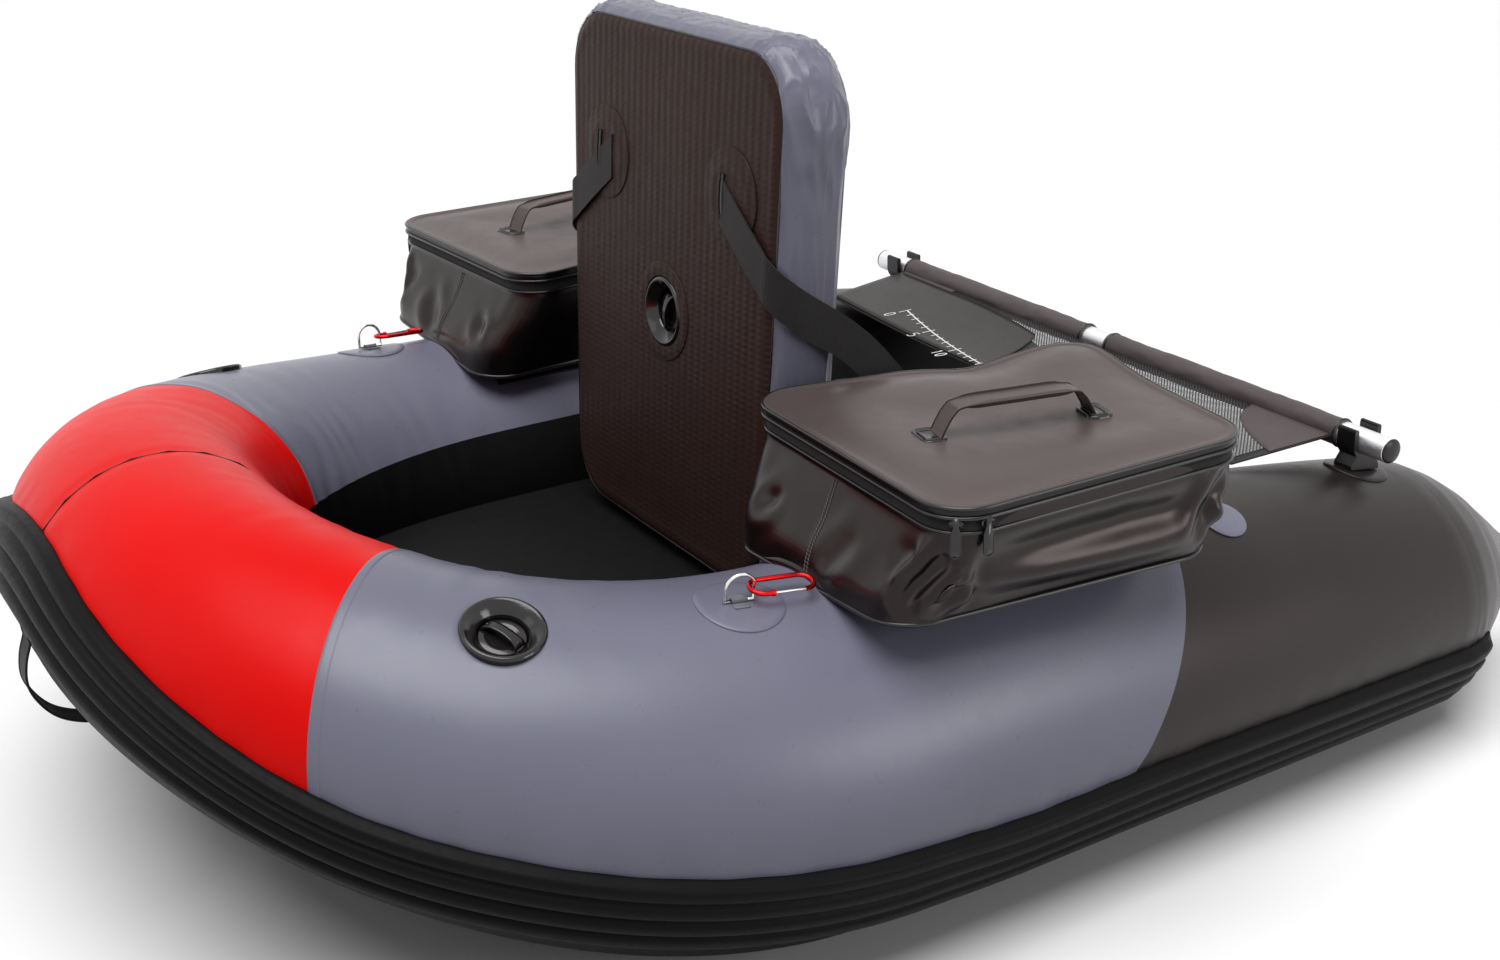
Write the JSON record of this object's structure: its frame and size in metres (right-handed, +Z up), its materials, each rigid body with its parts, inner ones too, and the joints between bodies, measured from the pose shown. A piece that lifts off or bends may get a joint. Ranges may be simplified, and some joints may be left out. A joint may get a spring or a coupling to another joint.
{
  "type": "float tube",
  "caption": "Inflatable one-person float tube with a closed bow, open stern, upright backrest, side bags, rubbing strake and a stripping bar with a mesh apron.",
  "frame": {"origin": "on the ground, under the middle of the outline", "axes": "+Z up, +Y towards the open stern, the way the user faces, +X to the user's right"},
  "size_m": [1.1728, 1.5671, 0.7722],
  "materials": {
    "bow_tube": "gloss",
    "side_tube": "gloss",
    "tail_tube": "satin",
    "tube_valve": "gloss",
    "tube_valve_cap": "gloss",
    "ring_patch": "gloss",
    "ring_keeper": "satin",
    "tie_ring": "polished",
    "carabiner": "gloss",
    "carabiner_gate": "polished",
    "anchor_patch": "satin",
    "slot_patch": "satin",
    "backrest_strap": "matte",
    "bag_base": "satin",
    "bag_body": "gloss",
    "bag_lid": "gloss",
    "lid_handle": "satin",
    "bar_cap": "satin",
    "bar_clip": "satin",
    "clip_base": "satin",
    "apron_sleeve": "satin",
    "bow_baffle": "matte",
    "rubbing_strake": "satin",
    "floor_panel": "matte",
    "bow_handle": "matte",
    "seat_cushion": "satin",
    "seat_valve": "gloss",
    "seat_valve_cap": "gloss",
    "backrest_pad": "satin",
    "backrest_valve": "gloss",
    "backrest_valve_cap": "gloss",
    "backrest_valve_patch": "satin",
    "cross_bar": "satin",
    "apron_mesh": "matte",
    "apron_panel": "satin",
    "zip_puller": "polished"
  },
  "bodies": {
    "hull": {"bow_tube_right": "bow_tube", "bow_tube_left": "bow_tube", "side_tube_right": "side_tube", "side_tube_left": "side_tube", "tail_tube_right": "tail_tube", "tail_tube_left": "tail_tube", "tube_valve_right": "tube_valve", "tube_valve_left": "tube_valve", "ring_patch_right": "ring_patch", "ring_patch_left": "ring_patch", "ring_keeper_right": "ring_keeper", "ring_keeper_left": "ring_keeper", "anchor_patch_right": "anchor_patch", "anchor_patch_left": "anchor_patch", "backrest_strap_right": "backrest_strap", "backrest_strap_left": "backrest_strap", "bag_base_right": "bag_base", "bag_base_left": "bag_base", "bag_body_right": "bag_body", "bag_body_left": "bag_body", "bar_clip_right": "bar_clip", "bar_clip_left": "bar_clip", "clip_base_right": "clip_base", "clip_base_left": "clip_base", "bow_baffle": "bow_baffle", "rubbing_strake": "rubbing_strake", "floor_panel": "floor_panel", "bow_handle": "bow_handle", "seat_cushion": "seat_cushion", "seat_valve": "seat_valve"},
    "backrest": {"backrest_pad": "backrest_pad", "backrest_valve": "backrest_valve", "backrest_valve_patch": "backrest_valve_patch", "slot_patch_right": "slot_patch", "slot_patch_left": "slot_patch"},
    "backrest_valve_cap": {"backrest_valve_cap": "backrest_valve_cap"},
    "seat_valve_cap": {"seat_valve_cap": "seat_valve_cap"},
    "bar": {"cross_bar": "cross_bar", "bar_cap_right": "bar_cap", "bar_cap_left": "bar_cap", "apron_sleeve_right": "apron_sleeve", "apron_sleeve_left": "apron_sleeve", "apron_mesh": "apron_mesh", "apron_panel": "apron_panel"},
    "tube_valve_cap_right": {"tube_valve_cap_right": "tube_valve_cap"},
    "bag_lid_right": {"bag_lid_right": "bag_lid", "lid_handle_right": "lid_handle"},
    "tie_ring_right": {"tie_ring_right": "tie_ring"},
    "carabiner_right": {"carabiner_right": "carabiner"},
    "carabiner_gate_right": {"carabiner_gate_right": "carabiner_gate"},
    "zip_puller_right_bow": {"zip_puller_right_bow": "zip_puller"},
    "zip_puller_right_stern": {"zip_puller_right_stern": "zip_puller"},
    "tube_valve_cap_left": {"tube_valve_cap_left": "tube_valve_cap"},
    "bag_lid_left": {"bag_lid_left": "bag_lid", "lid_handle_left": "lid_handle"},
    "tie_ring_left": {"tie_ring_left": "tie_ring"},
    "carabiner_left": {"carabiner_left": "carabiner"},
    "carabiner_gate_left": {"carabiner_gate_left": "carabiner_gate"},
    "zip_puller_left_bow": {"zip_puller_left_bow": "zip_puller"},
    "zip_puller_left_stern": {"zip_puller_left_stern": "zip_puller"}
  },
  "joints": [
    {"name": "backrest_fold", "type": "hinge", "parent": "hull", "child": "backrest", "pos_m": [0, -0.02243, 0.2863], "axis": [-1, 0, 0], "range_deg": [0, 72], "deforming": ["backrest_strap_right", "backrest_strap_left"]},
    {"name": "backrest_valve_cap_turn", "type": "hinge", "parent": "backrest", "child": "backrest_valve_cap", "pos_m": [0, -0.0909, 0.472], "axis": [0, -0.998, 0.0628], "range_deg": [0, 90]},
    {"name": "seat_valve_cap_turn", "type": "hinge", "parent": "hull", "child": "seat_valve_cap", "pos_m": [0.1, 0.30287, 0.2403], "axis": [0, 1, 0], "range_deg": [0, 90]},
    {"name": "tube_valve_cap_turn_right", "type": "hinge", "parent": "hull", "child": "tube_valve_cap_right", "pos_m": [0.3941, -0.46843, 0.36688], "axis": [0.3718, -0.0178, 0.9281], "range_deg": [0, 90]},
    {"name": "bag_lid_lift_right", "type": "hinge", "parent": "hull", "child": "bag_lid_right", "pos_m": [0.2745, 0.0365, 0.44702], "axis": [-0.2031, -0.9792, 0], "range_deg": [0, 85]},
    {"name": "zip_puller_swing_right_bow", "type": "hinge", "parent": "hull", "child": "zip_puller_right_bow", "pos_m": [0.57347, -0.142, 0.44922], "axis": [-0.6691, -0.7431, 0], "range_deg": [0, 70]},
    {"name": "zip_puller_swing_right_stern", "type": "hinge", "parent": "hull", "child": "zip_puller_right_stern", "pos_m": [0.58466, -0.11687, 0.44922], "axis": [-0.1045, -0.9945, 0], "range_deg": [0, 70]},
    {"name": "tie_ring_swing_right", "type": "hinge", "parent": "hull", "child": "tie_ring_right", "pos_m": [0.42683, -0.26229, 0.35072], "axis": [0.1211, 0.9896, -0.0778], "range_deg": [-20, 20]},
    {"name": "carabiner_swing_right", "type": "hinge", "parent": "tie_ring_right", "child": "carabiner_right", "pos_m": [0.43023, -0.24783, 0.35997], "axis": [0.1633, 0.0575, 0.9849], "range_deg": [-15, 15]},
    {"name": "carabiner_gate_open_right", "type": "hinge", "parent": "carabiner_right", "child": "carabiner_gate_right", "pos_m": [0.44336, -0.23411, 0.357], "axis": [0.1633, 0.0575, 0.9849], "range_deg": [0, 14], "stiffness_Nm_per_rad": 0.02},
    {"name": "tube_valve_cap_turn_left", "type": "hinge", "parent": "hull", "child": "tube_valve_cap_left", "pos_m": [-0.3941, -0.46843, 0.36688], "axis": [-0.3718, -0.0178, 0.9281], "range_deg": [0, 90]},
    {"name": "bag_lid_lift_left", "type": "hinge", "parent": "hull", "child": "bag_lid_left", "pos_m": [-0.2745, 0.0365, 0.44702], "axis": [-0.2031, 0.9792, 0], "range_deg": [0, 85]},
    {"name": "zip_puller_swing_left_bow", "type": "hinge", "parent": "hull", "child": "zip_puller_left_bow", "pos_m": [-0.57347, -0.142, 0.44922], "axis": [-0.6691, 0.7431, 0], "range_deg": [0, 70]},
    {"name": "zip_puller_swing_left_stern", "type": "hinge", "parent": "hull", "child": "zip_puller_left_stern", "pos_m": [-0.58466, -0.11687, 0.44922], "axis": [-0.1045, 0.9945, 0], "range_deg": [0, 70]},
    {"name": "tie_ring_swing_left", "type": "hinge", "parent": "hull", "child": "tie_ring_left", "pos_m": [-0.42683, -0.26229, 0.35072], "axis": [0.1211, -0.9896, 0.0778], "range_deg": [-20, 20]},
    {"name": "carabiner_swing_left", "type": "hinge", "parent": "tie_ring_left", "child": "carabiner_left", "pos_m": [-0.43023, -0.24783, 0.35997], "axis": [0.1633, -0.0575, -0.9849], "range_deg": [-15, 15]},
    {"name": "carabiner_gate_open_left", "type": "hinge", "parent": "carabiner_left", "child": "carabiner_gate_left", "pos_m": [-0.44336, -0.23411, 0.357], "axis": [0.1633, -0.0575, -0.9849], "range_deg": [0, 14], "stiffness_Nm_per_rad": 0.02},
    {"name": "bar_lift", "type": "slide", "parent": "hull", "child": "bar", "axis": [0, 0, 1], "range_m": [0, 0.035]}
  ]
}
